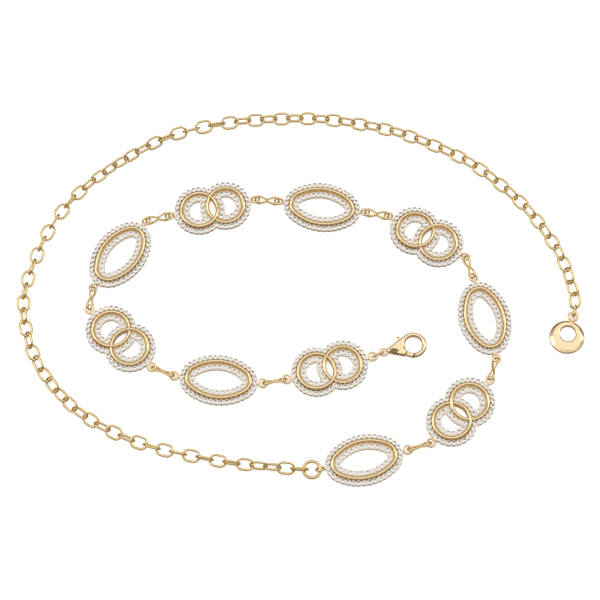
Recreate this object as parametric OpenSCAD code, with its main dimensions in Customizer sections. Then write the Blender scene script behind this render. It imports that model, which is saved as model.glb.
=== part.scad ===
// Waist chain lying open on a flat surface: ten plaques with rows of stone settings, bow links
// between them, a long cable chain that ends in a disc pendant, and a spring clasp.
// Millimetres, +Z up, resting on z = 0, with the origin under the middle of the layout.

/* [Oval plaque] */
// Half length of the oval, to the middle of its ridge
oval_half_length = 15.9; // [14:0.1:18]
// Half width of the oval, to the middle of its ridge
oval_half_width = 9.5; // [8.9:0.1:11]
// Radius of the oval's round ends, to the middle of the ridge
oval_end_radius = 6.3; // [5.8:0.1:7.4]

/* [Double plaque] */
// Radius of each of the two rings, to the middle of its ridge
ring_radius = 9.25; // [8.6:0.05:10.5]
// Distance between the centres of the two rings
ring_spacing = 13.4; // [12.4:0.1:14.6]
// Tilt of each ring, which lifts it over the other at one crossing
ring_tilt = 3; // [1:0.5:4]

/* [Ridge and settings] */
// Width of the rounded ridge
ridge_width = 1.6; // [1.2:0.1:2]
// Height of the ridge's top above the surface
ridge_height = 3.3; // [3:0.1:4]
// Thickness of the plate that carries the settings
plate_thickness = 1.2; // [0.8:0.1:1.8]
// Outer diameter of a stone's cup
cup_diameter = 2.5; // [2.1:0.05:2.6]
// Height of a cup's rim above the surface
cup_height = 2.3; // [2:0.1:2.8]
// Diameter of the seat that a stone sits in
seat_diameter = 2; // [1.6:0.1:2]
// Depth of the seat
seat_depth = 0.8; // [0.5:0.1:1]
// Spacing of the stones along a row, rounded to fill the row
stone_pitch = 2.64; // [2.6:0.02:3.2]
// Gap between the ridge and the outer row of cups
outer_groove = 0.25; // [0.15:0.05:0.5]
// Gap between the ridge and the inner row of cups
inner_groove = 0.75; // [0.5:0.05:1]
// Width of plate that shows past the inner cups, and past the ridges between the rings
plate_lip = 0.2; // [0.1:0.05:0.3]

/* [Stones] */
// Clearance round a stone in its seat
stone_clearance = 0.05; // [0.03:0.01:0.1]
// Height of a stone's crown, above the rim of its cup
stone_crown = 0.35; // [0.2:0.05:0.5]
// Width of a stone's flat table as a share of its diameter
stone_table = 0.58; // [0.45:0.01:0.65]
// Facets round a stone
stone_facets = 10; // [8:1:10]

/* [End loops] */
// Diameter of the hole in a plaque's end loop
loop_hole = 2.9; // [2.8:0.1:3]
// Thickness of an end loop's wire
loop_wire = 1.05; // [0.85:0.05:1.05]
// Distance from the end cup's edge to the middle of the loop
loop_reach = 2.6; // [2.5:0.1:3]
// Height of the loops' middle above the surface
loop_height = 2.1; // [2.1:0.1:2.3]
// Roll of the loops, so that the bow links can pass through them
loop_roll = 20; // [18:1:25]
// Roll of the one loop that holds the large jump ring
ring_loop_roll = 51; // [48:1:51]

/* [Bow link] */
// Overall length of a bow link
bow_length = 12.95; // [12.55:0.1:14.15]
// Overall width of a bow link's two eyes
bow_width = 5; // [4.9:0.1:5.1]
// Width of a bow link at its pinched waist
bow_waist = 2; // [1.85:0.05:2]
// Thickness of a bow link's wire
bow_wire = 1.05; // [0.95:0.05:1.05]
// Roll of a bow link about its length
bow_roll = 50; // [48:1:52]

/* [Jump ring] */
// Outer diameter of the large round jump ring
jump_diameter = 9.6; // [9:0.1:12]
// Thickness of the jump ring's wire
jump_wire = 1.45; // [1.2:0.05:1.45]
// Roll of the jump ring about the strand
jump_roll = -6; // [-8:1:0]

/* [Cable chain] */
// Number of links in the cable chain
chain_links = 84; // [60:2:96]
// Overall length of a link
link_length = 9.25; // [8.95:0.1:10.55]
// Overall width of a link
link_width = 6.9; // [6.6:0.1:7.6]
// Thickness of a link's wire
link_wire = 1.15; // [1:0.05:1.2]
// Free play between one link and the next
link_play = 0.28; // [0.26:0.02:0.6]
// Turn from one link to the next
link_turn = 78; // [74:1:90]

/* [Small links] */
// Overall width of the two small links at the ends of the strand
small_width = 4; // [4:0.1:4.4]
// Thickness of a small link's wire
small_wire = 1; // [0.85:0.05:1]
// Length of a small link, between the middles of its wire at the two ends
small_length = 6.1; // [5.9:0.1:7.5]

/* [Clasp] */
// Distance from the clasp's eye to the middle of its hook
clasp_length = 15.2; // [14.6:0.1:18]
// Outer radius of the hook
hook_radius = 6.5; // [6.2:0.1:7]
// Width of the hook's band
hook_width = 2.15; // [1.8:0.05:2.3]
// Thickness of the hook
hook_thickness = 2.8; // [2.4:0.1:3]
// Thickness of the clasp's body, where the lever turns in it
clasp_thickness = 3.2; // [3:0.1:3.4]
// Half width of the clasp's neck
neck_radius = 1.3; // [1.1:0.1:1.6]
// Diameter of the hole in the clasp's eye
eye_hole = 2.5; // [2.5:0.1:2.7]
// Width of the metal round the clasp's eye
eye_wall = 1.1; // [0.9:0.1:1.2]
// Thickness of the metal round the clasp's eye
eye_thickness = 1; // [0.8:0.1:1.1]
// Distance of the lever's pin behind the middle of the hook
pin_back = 7.4; // [7.2:0.1:7.6]
// Distance of the pin from the clasp's middle line, towards the gate
pin_aside = 1.9; // [1.7:0.1:2]
// Diameter of the pin
pin_diameter = 1; // [0.8:0.1:1.2]
// Running clearance all round the pin
pin_clearance = 0.05; // [0.03:0.01:0.08]
// Thickness of the lever inside the slot
lever_thickness = 1.1; // [0.9:0.1:1.3]
// Clearance between the lever and the slot, on each side
slot_clearance = 0.1; // [0.08:0.02:0.2]
// Thickness of the gate that closes the hook
gate_thickness = 2.4; // [2:0.1:2.6]
// Distance from the pin to the gate's tip
gate_length = 7.1; // [6.9:0.1:7.3]
// Clearance at the gate's two ends
gate_clearance = 0.2; // [0.15:0.05:0.3]
// Angle that the lever opens through
lever_travel = 25; // [15:1:25]
// How far the thumb tab stands out of the back of the clasp
tab_reach = 1.6; // [1.2:0.1:2.4]
// Width of the thumb tab
tab_width = 1.3; // [1:0.1:1.6]

/* [Pendant] */
// Diameter of the disc
disc_diameter = 17.4; // [15:0.1:22]
// Thickness of the disc
disc_thickness = 2.4; // [2:0.1:3]
// Diameter of the hole through the disc
disc_hole = 7.9; // [6:0.1:9]
// Width of the bevel round the hole's edges
disc_bevel = 0.4; // [0.2:0.1:0.6]
// Distance of the hole from the disc's middle, towards the eye
disc_hole_offset = 1.8; // [0.5:0.1:2.4]
// Diameter of the hole in the pendant's eye
disc_eye_hole = 3; // [2.6:0.1:3.4]
// Thickness of the pendant eye's wire
disc_eye_wire = 1.3; // [1:0.1:1.35]

/* [Hidden] */
$fn = 36;
gold = [0.9, 0.77, 0.5];
clear = [0.93, 0.94, 0.97];

// The strand's way over the surface, from the clasp's eye to the pendant's eye. The first points
// are corners, at the two ends of each plaque in turn; the rest lie on the cable chain's curve
ROUTE = [
    [41.5, -30], [36, -32.5],
    [-7, -44.5], [-18.5, -46.5],
    [-62.5, -42.5], [-73.5, -38],
    [-105.5, -7], [-103.5, 4],
    [-78, 40], [-66, 43],
    [-22.5, 52], [-10.5, 51],
    [33, 45], [44.5, 43],
    [82.5, 22], [86.5, 10.5],
    [97.5, -32.5], [94.5, -44],
    [65.5, -77], [53, -81],
    [9.5, -91], [2, -91.5],
    [-15, -90], [-34, -88], [-54, -84.2], [-73.5, -79.5], [-92, -72], [-109.5, -61],
    [-123.5, -46], [-132.5, -30.5], [-137.5, -11.5], [-137.5, 1], [-134.5, 13.5], [-127, 33.5],
    [-116.5, 50], [-103, 63.3], [-87, 75], [-69.5, 85.3], [-50, 91.5], [-30, 94.8],
    [-10, 96.2], [10, 96.2], [30, 93.4], [49, 89], [68, 81.6], [86, 72.2],
    [101.7, 59.7], [115.6, 45.4], [126.6, 29], [132.5, 16.6], [137.4, -2.7], [136, -11.5]];
corner_points = 21;
// Pieces that each stretch of the curve is divided into
curve_steps = 6;
// Directions of the clasp and of the pendant on the surface
clasp_heading = 14;
pendant_heading = -108;
// Turn of the odd links of the cable chain about the strand, from link to link
CHAIN_TURNS = [
    [1, 80], [3, 45], [5, 8], [9, 0], [24, -60], [36, -75], [53, -172], [80, -188], [84, -218]];
// Share of the difference in rise that a lying link hangs below a standing one
link_sink = 0.2;
// Height of the small links' middle above the surface, and the roll of each
small_height = small_width / 2 + 0.05;
clasp_height = clasp_thickness / 2 + 0.15;
clasp_link_roll = 76;
pendant_link_roll = 104;

ridge_half = ridge_width / 2;
outer_row = ridge_half + outer_groove + cup_diameter / 2;
inner_row = ridge_half + inner_groove + cup_diameter / 2;
plate_outer = outer_row + seat_diameter / 2;
plate_inner = inner_row + cup_diameter / 2 + plate_lip;
// Height where the rings of a double plaque start, so that they tilt above the surface
tilted_base = plate_thickness / 2;

// Centres, radii and joint angle of the four arcs of an oval of half length a, half width b and
// end radius r: two end arcs about [+-x, 0] and two side arcs about [0, +-y]
function arc_side_y(a, b, r) = (pow(a - r, 2) - pow(b - r, 2)) / (2 * (b - r));
function arc_turn(a, b, r) = atan2(arc_side_y(a, b, r), a - r);
oval_end_x = oval_half_length - oval_end_radius;
oval_side_y = arc_side_y(oval_half_length, oval_half_width, oval_end_radius);
oval_turn = arc_turn(oval_half_length, oval_half_width, oval_end_radius);

ring_x = ring_spacing / 2;
oval_tip = oval_half_length + outer_row + cup_diameter / 2;
double_tip = ring_x + ring_radius + outer_row + cup_diameter / 2;
oval_span = 2 * (oval_tip + loop_reach);
double_span = 2 * (double_tip + loop_reach);
loop_radius = (loop_hole + loop_wire) / 2;
// The short stem that joins an end loop to the plate and to the cups at the tip
stem_overlap = 0.6;
stem_width = 1.3;
stem_base = plate_thickness / 2;
stem_top = loop_height + 0.35;

bow_span = bow_length - bow_wire;
bow_eye_radius = (bow_width - bow_wire) / 2;
waist_y = (bow_waist - bow_wire) / 2;
// How much a bow link's wire swells at its waist, and where its sides meet its eyes
waist_swell = 0.12;
bend_swell = 0.06;
// How far a side runs on past the waist, and how far it stops short of the eye's arc
waist_overlap = 0.2;
bend_gap = 0.03;

link_span = link_length - link_wire;
link_pitch = link_length - 2 * link_wire - link_play;
link_hook = link_span - link_pitch;
link_rise = (link_width - link_wire) / 2;
// How far the chain's first and last link reach into the jump ring and the pendant's link
jump_radius = (jump_diameter - jump_wire) / 2;
jump_hook = (jump_wire + link_wire) / 2 + 0.75;
jump_height = loop_height + 0.1;
jump_step = 2 * jump_radius - jump_hook + link_hook / 2;
pendant_hook = (small_wire + link_wire) / 2 + 0.4;
pendant_step = small_length - pendant_hook + link_hook / 2;

// Steps from joint to joint along the strand: the clasp's link, each plaque with the bow link or
// jump ring behind it, the links of the cable chain, and the pendant's link
STEPS = concat(
    [small_length],
    [for (k = [1:10]) each [k % 2 == 1 ? double_span : oval_span, k < 10 ? bow_span : jump_step]],
    [for (k = [1:chain_links]) link_pitch],
    [pendant_step]);
// The joints where the cable chain begins and ends
chain_start = 21;
chain_end = chain_start + chain_links;

// Point at share t of the way from p1 to p2, on the smooth curve through four points
function curve_point(p0, p1, p2, p3, t) =
    0.5 * (2 * p1 + (p2 - p0) * t + (2 * p0 - 5 * p1 + 4 * p2 - p3) * t * t
           + (3 * p1 - p0 - 3 * p2 + p3) * t * t * t);
last_point = len(ROUTE) - 1;
last_leg = ROUTE[last_point] - ROUTE[last_point - 1];
TRACK = concat(
    [for (k = [0:corner_points - 1]) ROUTE[k]],
    [for (k = [corner_points:last_point - 1], s = [0:curve_steps - 1])
        curve_point(ROUTE[k - 1], ROUTE[k], ROUTE[k + 1], ROUTE[min(k + 2, last_point)],
                    s / curve_steps)],
    [ROUTE[last_point], ROUTE[last_point] + 40 * last_leg]);

// Share of the way from a to b where the distance from p is d
function reach_share(p, a, b, d) =
    let (ab = b - a, pa = a - p, h = ab * pa)
    (sqrt(max(h * h - ab * ab * (pa * pa - d * d), 0)) - h) / (ab * ab);
// First point of the track, from the k-th on, that lies d or more from p
function next_point(p, k, d) =
    k == len(TRACK) - 1 || norm(TRACK[k] - p) >= d ? k : next_point(p, k + 1, d);
// Joints along the track, each one exact step from the one before
function walk(joints, k) =
    len(joints) > len(STEPS) ? joints :
    let (d = STEPS[len(joints) - 1], p = joints[len(joints) - 1], j = next_point(p, k, d),
         a = TRACK[j - 1], b = TRACK[j])
    walk(concat(joints, [a + (b - a) * reach_share(p, a, b, d)]), j);
JOINTS = walk([ROUTE[0]], 1);

// Point of the plaque's oval, moved out by d, at share t of the way round
function oval_point(d, t) =
    let (end_r = oval_end_radius + d, side_r = oval_half_width + oval_side_y + d,
         end_arc = end_r * oval_turn, side_arc = side_r * (90 - oval_turn),
         quarter = floor(t * 4), u = t * 4 - quarter,
         s = (quarter % 2 == 0 ? u : 1 - u) * (end_arc + side_arc),
         turn = s < end_arc ? s / end_r : oval_turn + (s - end_arc) / side_r,
         p = s < end_arc ? [oval_end_x + end_r * cos(turn), end_r * sin(turn)]
                         : [side_r * cos(turn), side_r * sin(turn) - oval_side_y])
    [quarter == 1 || quarter == 2 ? -p.x : p.x, quarter > 1 ? -p.y : p.y];
function oval_girth(d) =
    4 * PI / 180 * ((oval_end_radius + d) * oval_turn
                    + (oval_half_width + oval_side_y + d) * (90 - oval_turn));
// Middles of the stones of a row that runs round the oval at distance d from the ridge
function oval_row(d) =
    let (n = 2 * round(oval_girth(d) / (2 * stone_pitch)))
    [for (k = [0:n - 1]) oval_point(d, k / n)];
OVAL_INNER_STONES = oval_row(-inner_row);
OVAL_STONES = concat(oval_row(outer_row), OVAL_INNER_STONES);

// Middles of stones on an arc about [x, 0] from angle a to angle b, a stone at each end
function arc_row(x, r, a, b) =
    let (n = round(PI / 180 * r * (b - a) / stone_pitch))
    [for (k = [0:n]) [x + r * cos(a + (b - a) * k / n), r * sin(a + (b - a) * k / n)]];
function without_ends(row) = [for (k = [1:len(row) - 2]) row[k]];
// Radii of the two rows of a double plaque, and the angles at which they meet
halo_radius = ring_radius + outer_row;
bay_radius = ring_radius - inner_row;
halo_notch = acos(ring_x / halo_radius);
corner_x = (halo_radius * halo_radius - bay_radius * bay_radius) / (4 * ring_x);
bay_corner = acos((ring_x - corner_x) / bay_radius);
halo_corner = acos((ring_x + corner_x) / halo_radius);
// Middles of the stones on the right half of a double plaque, and on all of it
HALF_STONES = concat(
    without_ends(arc_row(ring_x, halo_radius, halo_notch - 180, 180 - halo_notch)),
    arc_row(ring_x, bay_radius, bay_corner - 180, 180 - bay_corner),
    without_ends(arc_row(-ring_x, halo_radius, -halo_corner, halo_corner)));
notch_y = halo_radius * sin(halo_notch);
DOUBLE_STONES = concat(
    HALF_STONES, [for (p = HALF_STONES) [-p.x, p.y]], [[0, notch_y], [0, -notch_y]]);

// Sweeps a profile round an oval of four arcs; x = 0 of the profile runs along the oval
module sweep_oval(a, b, r) {
    side_y = arc_side_y(a, b, r);
    turn = arc_turn(a, b, r);
    for (half = [0, 180])
        rotate(half) {
            translate([a - r, 0])
                rotate(-turn)
                    rotate_extrude(angle = 2 * turn)
                        translate([r, 0])
                            children();
            translate([0, -side_y])
                rotate(turn)
                    rotate_extrude(angle = 180 - 2 * turn)
                        translate([b + side_y, 0])
                            children();
        }
}

// Profile of the polished ridge, from height z0 up to its round top
module ridge_profile(z0) {
    translate([-ridge_half, z0])
        square([ridge_width, ridge_height - ridge_half - z0]);
    translate([0, ridge_height - ridge_half])
        circle(d = ridge_width);
}

// Cups for stones, standing on the surface at the given points
module cups(points) {
    for (p = points)
        translate(p)
            cylinder(d = cup_diameter, h = cup_height);
}

// Seats that are cut into the cups
module seats(points) {
    for (p = points)
        translate([p.x, p.y, cup_height - seat_depth])
            cylinder(d = seat_diameter, h = ridge_height);
}

// Loop at a plaque's right end, with the stem that joins it to the cup at the tip
module end_loop(tip, roll) {
    translate([tip + loop_reach, 0, loop_height])
        rotate([roll, 0, 0])
            rotate_extrude()
                translate([loop_radius, 0])
                    circle(d = loop_wire);
    translate([tip - stem_overlap, -stem_width / 2, stem_base])
        cube([loop_reach - loop_radius + stem_overlap, stem_width, stem_top - stem_base]);
}

// Both end loops of a plaque, the left one rolled where it holds the jump ring
module end_loops(tip, left_roll) {
    end_loop(tip, loop_roll);
    rotate(180)
        end_loop(tip, left_roll);
}

module oval_body(left_roll) {
    difference() {
        union() {
            sweep_oval(oval_half_length, oval_half_width, oval_end_radius)
                union() {
                    translate([-plate_inner, 0])
                        square([plate_inner + plate_outer, plate_thickness]);
                    ridge_profile(0);
                }
            cups(OVAL_STONES);
            end_loops(oval_tip, left_roll);
        }
        seats(OVAL_STONES);
    }
}

// Plate of a double plaque, open inside both rings and between them
module double_plate() {
    linear_extrude(plate_thickness)
        difference() {
            for (side = [-1, 1])
                translate([side * ring_x, 0])
                    circle(r = ring_radius + plate_outer);
            intersection_for(side = [-1, 1])
                translate([side * ring_x, 0])
                    circle(r = ring_radius - ridge_half - plate_lip);
            for (side = [-1, 1])
                difference() {
                    translate([side * ring_x, 0])
                        circle(r = ring_radius - plate_inner);
                    translate([-side * ring_x, 0])
                        circle(r = ring_radius + outer_row + cup_diameter / 2 + plate_lip);
                }
        }
}

module double_body() {
    difference() {
        union() {
            double_plate();
            for (side = [-1, 1])
                translate([side * ring_x, 0, 0])
                    rotate([side * ring_tilt, 0, 0])
                        rotate_extrude()
                            translate([ring_radius, 0])
                                ridge_profile(tilted_base);
            cups(DOUBLE_STONES);
            end_loops(double_tip, -loop_roll);
        }
        seats(DOUBLE_STONES);
    }
}

// Places a piece half way between joint k of the strand and the next, in line with them
module between_joints(k) {
    a = JOINTS[k];
    b = JOINTS[k + 1];
    translate([(a.x + b.x) / 2, (a.y + b.y) / 2])
        rotate(atan2(b.y - a.y, b.x - a.x))
            children();
}

// The ten plaques alternate from the clasp on, and each turns its left end to the cable chain
module double_plaque(k) {
    color(gold)
        between_joints(4 * k - 3)
            rotate(180)
                double_body();
}

module oval_plaque(k) {
    color(gold)
        between_joints(4 * k - 1)
            rotate(180)
                oval_body(k == 5 ? ring_loop_roll : -loop_roll);
}

// Cut stone with a flat table, its girdle level with the rim of its cup
module stone() {
    diameter = seat_diameter - 2 * stone_clearance;
    pavilion = seat_depth - stone_clearance;
    $fn = stone_facets;
    translate([0, 0, cup_height - pavilion])
        cylinder(d1 = diameter / 5, d2 = diameter, h = pavilion);
    translate([0, 0, cup_height])
        cylinder(d1 = diameter, d2 = stone_table * diameter, h = stone_crown);
}

// The inner row of stones of an oval plaque
module oval_stones(k) {
    color(clear)
        between_joints(4 * k - 1)
            rotate(180)
                for (p = OVAL_INNER_STONES)
                    translate(p)
                        rotate(atan2(p.y, p.x))
                            stone();
}

// Half of a bow link: its wire runs from the waist round one eye and back to the waist
module bow_half() {
    eye_x = bow_span / 2 - bow_eye_radius;
    reach = norm([eye_x, waist_y]);
    side_length = sqrt(reach * reach - bow_eye_radius * bow_eye_radius);
    slope = asin(bow_eye_radius / reach) - atan2(waist_y, eye_x);
    turn = 90 + slope;
    translate([eye_x, 0])
        rotate(-turn)
            rotate_extrude(angle = 2 * turn)
                translate([bow_eye_radius, 0])
                    circle(d = bow_wire);
    for (side = [-1, 1])
        translate([0, side * waist_y, 0])
            rotate([0, 90, side * slope]) {
                translate([0, 0, -waist_overlap])
                    cylinder(d = bow_wire, h = waist_overlap + side_length - bend_gap);
                translate([0, 0, side_length])
                    sphere(d = bow_wire + bend_swell);
            }
}

module bow_link(k) {
    color(gold)
        between_joints(2 * k)
            translate([0, 0, loop_height])
                rotate([bow_roll, 0, 0]) {
                    bow_half();
                    mirror([1, 0, 0])
                        bow_half();
                    for (side = [-1, 1])
                        translate([0, side * waist_y, 0])
                            rotate([0, 90, 0])
                                sphere(d = bow_wire + waist_swell);
                }
}

// Large round ring that passes through the last plaque's loop and holds the cable chain
module jump_ring() {
    color(gold)
        between_joints(chain_start - 1)
            translate([jump_radius - jump_step / 2, 0, jump_height])
                rotate([jump_roll, 0, 0])
                    rotate_extrude()
                        translate([jump_radius, 0])
                            circle(d = jump_wire);
}

// Turn of link k of the cable chain about the strand
function link_roll(k) =
    lookup(k * CHAIN_TURNS[len(CHAIN_TURNS) - 1][0] / chain_links, CHAIN_TURNS)
    + (k % 2 == 0 ? link_turn : 0);
// Height of the middle of link k: the more upright of two neighbours stands on the surface
function link_height(k) =
    let (own = abs(sin(link_roll(k))),
         other = max(abs(sin(link_roll(k - 1))), abs(sin(link_roll(k + 1)))))
    link_wire / 2 + link_rise * (max(own, other) - link_sink * max(other - own, 0));

// Link of round wire with straight sides; its length and its half width are to the wire's middle
module wire_link(length, half_width, wire) {
    straight = length - 2 * half_width;
    for (half = [0, 180])
        rotate(half) {
            translate([straight / 2, 0])
                rotate(-90)
                    rotate_extrude(angle = 180)
                        translate([half_width, 0])
                            circle(d = wire);
            translate([-straight / 2, half_width])
                rotate([0, 90, 0])
                    cylinder(d = wire, h = straight);
        }
}

module cable_link(k) {
    between_joints(chain_start + k - 1)
        translate([0, 0, link_height(k)])
            rotate([link_roll(k), 0, 0])
                wire_link(link_span, link_rise, link_wire);
}

// First half of the cable chain, along the bottom and up the left of the layout
module lower_chain() {
    color(gold)
        for (k = [1:chain_links / 2])
            cable_link(k);
}

// Second half, over the top and down to the pendant
module upper_chain() {
    color(gold)
        for (k = [chain_links / 2 + 1:chain_links])
            cable_link(k);
}

// Small link, standing nearly upright
module small_link(roll) {
    color(gold)
        translate([0, 0, small_height])
            rotate([roll, 0, 0])
                wire_link(small_length, (small_width - small_wire) / 2, small_wire);
}

module clasp_link() {
    between_joints(0)
        small_link(clasp_link_roll);
}

module pendant_link() {
    between_joints(chain_end)
        translate([(pendant_step - small_length) / 2, 0])
            small_link(pendant_link_roll);
}

// Where the parts of the clasp lie, with the eye at the origin and the hook towards +X
neck_x = eye_hole / 2 + eye_wall + 0.35;
hook_hole = hook_radius - hook_width;
pin = [clasp_length - pin_back, -pin_aside];
pin_to_hook = norm([pin_back, pin_aside]);
// The gate starts where the hook's hole comes nearest to the pin
gate_root = pin_to_hook - hook_hole + 0.1;
// Directions of the gate and of the thumb tab from the pin
gate_heading = -26;
tab_heading = 81;
flank_lean = asin((hook_radius - neck_radius) / (clasp_length - neck_x));
// Distance from the pin to the clasp's back edge, square to it and along the tab
back_distance = hook_radius - pin_back * sin(flank_lean) + pin_aside * cos(flank_lean);
tab_length = back_distance / cos(90 + flank_lean - tab_heading) + tab_reach;
slot_height = lever_thickness + 2 * slot_clearance;
hub_radius = pin_diameter / 2 + 0.95;

// Teardrop outline of the clasp: the hook's circle, the neck's circle and the straight flanks
module clasp_outline() {
    translate([clasp_length, 0])
        circle(r = hook_radius);
    translate([neck_x, 0])
        circle(r = neck_radius);
    polygon([for (end = [[neck_x, neck_radius, 1], [clasp_length, hook_radius, 1],
                         [clasp_length, hook_radius, -1], [neck_x, neck_radius, -1]])
        [end[0] - end[1] * sin(flank_lean), end[2] * end[1] * cos(flank_lean)]]);
}

// Part of a ring about the pin, between two radii and two directions less than 180 degrees apart
module pin_sector(r0, r1, a, b) {
    translate(pin)
        intersection() {
            difference() {
                circle(r = r1);
                circle(r = r0);
            }
            polygon([[0, 0], for (turn = [a, (a + b) / 2, b]) 3 * r1 * [cos(turn), sin(turn)]]);
        }
}

// Side view of the clasp, which is thickest where the lever turns
module clasp_side() {
    half_hook = hook_thickness / 2;
    half_body = clasp_thickness / 2;
    polygon([
        [neck_x, -half_hook], [pin.x - 3, -half_body], [pin.x + 1, -half_body],
        [clasp_length, -half_hook], [clasp_length + 2 * hook_radius, -half_hook],
        [clasp_length + 2 * hook_radius, half_hook], [clasp_length, half_hook],
        [pin.x + 1, half_body], [pin.x - 3, half_body], [neck_x, half_hook],
        [0, eye_thickness / 2], [0, -eye_thickness / 2]]);
}

// Puts a piece of the clasp where the strand begins
module place_clasp() {
    translate([JOINTS[0].x, JOINTS[0].y, clasp_height])
        rotate(clasp_heading)
            children();
}

module clasp_body() {
    color(gold)
        place_clasp()
            difference() {
                union() {
                    difference() {
                        intersection() {
                            linear_extrude(clasp_thickness, center = true)
                                difference() {
                                    clasp_outline();
                                    translate([clasp_length, 0])
                                        circle(r = hook_hole);
                                    pin_sector(gate_root - gate_clearance,
                                               gate_length + gate_clearance,
                                               -80, lever_travel + 9);
                                }
                            rotate([90, 0, 0])
                                linear_extrude(4 * hook_radius, center = true)
                                    clasp_side();
                        }
                        linear_extrude(slot_height, center = true) {
                            translate(pin)
                                circle(r = gate_root);
                            pin_sector(hub_radius, 2 * hook_radius,
                                       tab_heading - 14, tab_heading + lever_travel + 14);
                        }
                    }
                    translate(pin)
                        cylinder(d = pin_diameter, h = clasp_thickness - 0.2, center = true);
                    cylinder(r = eye_hole / 2 + eye_wall, h = eye_thickness, center = true);
                }
                cylinder(d = eye_hole, h = 2 * clasp_thickness, center = true);
            }
}

// Lever of the clasp: the gate that closes the hook, the hub on the pin, and the thumb tab
module clasp_lever() {
    color(gold)
        place_clasp()
            difference() {
                union() {
                    linear_extrude(gate_thickness, center = true)
                        difference() {
                            intersection() {
                                clasp_outline();
                                pin_sector(gate_root, gate_length, -80, 9);
                            }
                            translate([clasp_length, 0])
                                circle(r = hook_hole);
                        }
                    translate([pin.x, pin.y, -lever_thickness / 2]) {
                        cylinder(r = hub_radius, h = lever_thickness);
                        rotate(gate_heading)
                            translate([0, -0.8, 0])
                                cube([gate_root + 0.8, 1.6, lever_thickness]);
                        rotate(tab_heading)
                            translate([0, -tab_width / 2, 0])
                                cube([tab_length - tab_width / 2, tab_width, lever_thickness]);
                    }
                    translate(pin)
                        rotate(tab_heading)
                            translate([tab_length - tab_width / 2, 0])
                                cylinder(d = tab_width, h = gate_thickness, center = true);
                }
                translate(pin)
                    cylinder(d = pin_diameter + 2 * pin_clearance, h = clasp_thickness, center = true);
            }
}

// Disc with a rounded edge and a hole off its middle, and the round eye that it hangs by
module disc_pendant() {
    eye_radius = (disc_eye_hole + disc_eye_wire) / 2;
    edge = disc_thickness / 2;
    eye_to_disc = disc_diameter / 2 + eye_radius + disc_eye_wire / 2 - 0.4;
    color(gold)
        translate([JOINTS[chain_end + 1].x, JOINTS[chain_end + 1].y])
            rotate(pendant_heading) {
                translate([0, 0, small_height])
                    rotate_extrude()
                        translate([eye_radius, 0])
                            circle(d = disc_eye_wire);
                translate([eye_to_disc, 0])
                    difference() {
                        rotate_extrude() {
                            square([disc_diameter / 2 - edge, disc_thickness]);
                            translate([disc_diameter / 2 - edge, edge])
                                intersection() {
                                    circle(r = edge);
                                    translate([-edge / 2, -edge])
                                        square([2 * edge, 2 * edge]);
                                }
                        }
                        translate([-disc_hole_offset, 0]) {
                            translate([0, 0, -1])
                                cylinder(d = disc_hole, h = disc_thickness + 2);
                            translate([0, 0, disc_thickness - disc_bevel])
                                cylinder(d1 = disc_hole, d2 = disc_hole + 4 * disc_bevel,
                                         h = 2 * disc_bevel);
                            translate([0, 0, -disc_bevel])
                                cylinder(d1 = disc_hole + 4 * disc_bevel, d2 = disc_hole,
                                         h = 2 * disc_bevel);
                        }
                    }
            }
}

clasp_body();
clasp_lever();
clasp_link();
double_plaque(1);  // double_plaque_1
double_plaque(2);  // double_plaque_2
double_plaque(3);  // double_plaque_3
double_plaque(4);  // double_plaque_4
double_plaque(5);  // double_plaque_5
oval_plaque(1);  // oval_plaque_1
oval_plaque(2);  // oval_plaque_2
oval_plaque(3);  // oval_plaque_3
oval_plaque(4);  // oval_plaque_4
oval_plaque(5);  // oval_plaque_5
oval_stones(1);  // oval_stones_1
oval_stones(2);  // oval_stones_2
oval_stones(3);  // oval_stones_3
oval_stones(4);  // oval_stones_4
oval_stones(5);  // oval_stones_5
bow_link(1);  // bow_link_1
bow_link(2);  // bow_link_2
bow_link(3);  // bow_link_3
bow_link(4);  // bow_link_4
bow_link(5);  // bow_link_5
bow_link(6);  // bow_link_6
bow_link(7);  // bow_link_7
bow_link(8);  // bow_link_8
bow_link(9);  // bow_link_9
jump_ring();
lower_chain();
upper_chain();
pendant_link();
disc_pendant();
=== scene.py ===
import math
import random

import bpy
from mathutils import Matrix, Vector


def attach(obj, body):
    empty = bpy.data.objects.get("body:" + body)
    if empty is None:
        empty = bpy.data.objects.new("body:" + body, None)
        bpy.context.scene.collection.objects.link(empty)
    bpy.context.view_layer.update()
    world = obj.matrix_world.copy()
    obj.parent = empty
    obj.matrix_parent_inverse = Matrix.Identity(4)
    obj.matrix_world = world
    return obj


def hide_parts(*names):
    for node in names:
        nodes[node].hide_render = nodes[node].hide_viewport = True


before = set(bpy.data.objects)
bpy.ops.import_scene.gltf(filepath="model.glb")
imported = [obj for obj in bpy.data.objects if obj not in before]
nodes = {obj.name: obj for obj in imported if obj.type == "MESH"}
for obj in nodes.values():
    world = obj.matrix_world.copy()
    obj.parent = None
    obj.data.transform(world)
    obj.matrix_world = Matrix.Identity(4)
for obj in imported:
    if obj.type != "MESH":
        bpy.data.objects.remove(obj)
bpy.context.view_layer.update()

# View
# The strand lies on a table and is seen from above and a little in front, through a long lens
# that leaves hardly any perspective. Distances are in metres.
VIEW_TARGET = Vector((0, -0.0017, 0))
VIEW_DISTANCE = 1.457
VIEW_ELEVATION = math.radians(69)
VIEW_ANGLE = math.radians(11.75)
VIEW_DEPTH = (0.02, 20)

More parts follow.
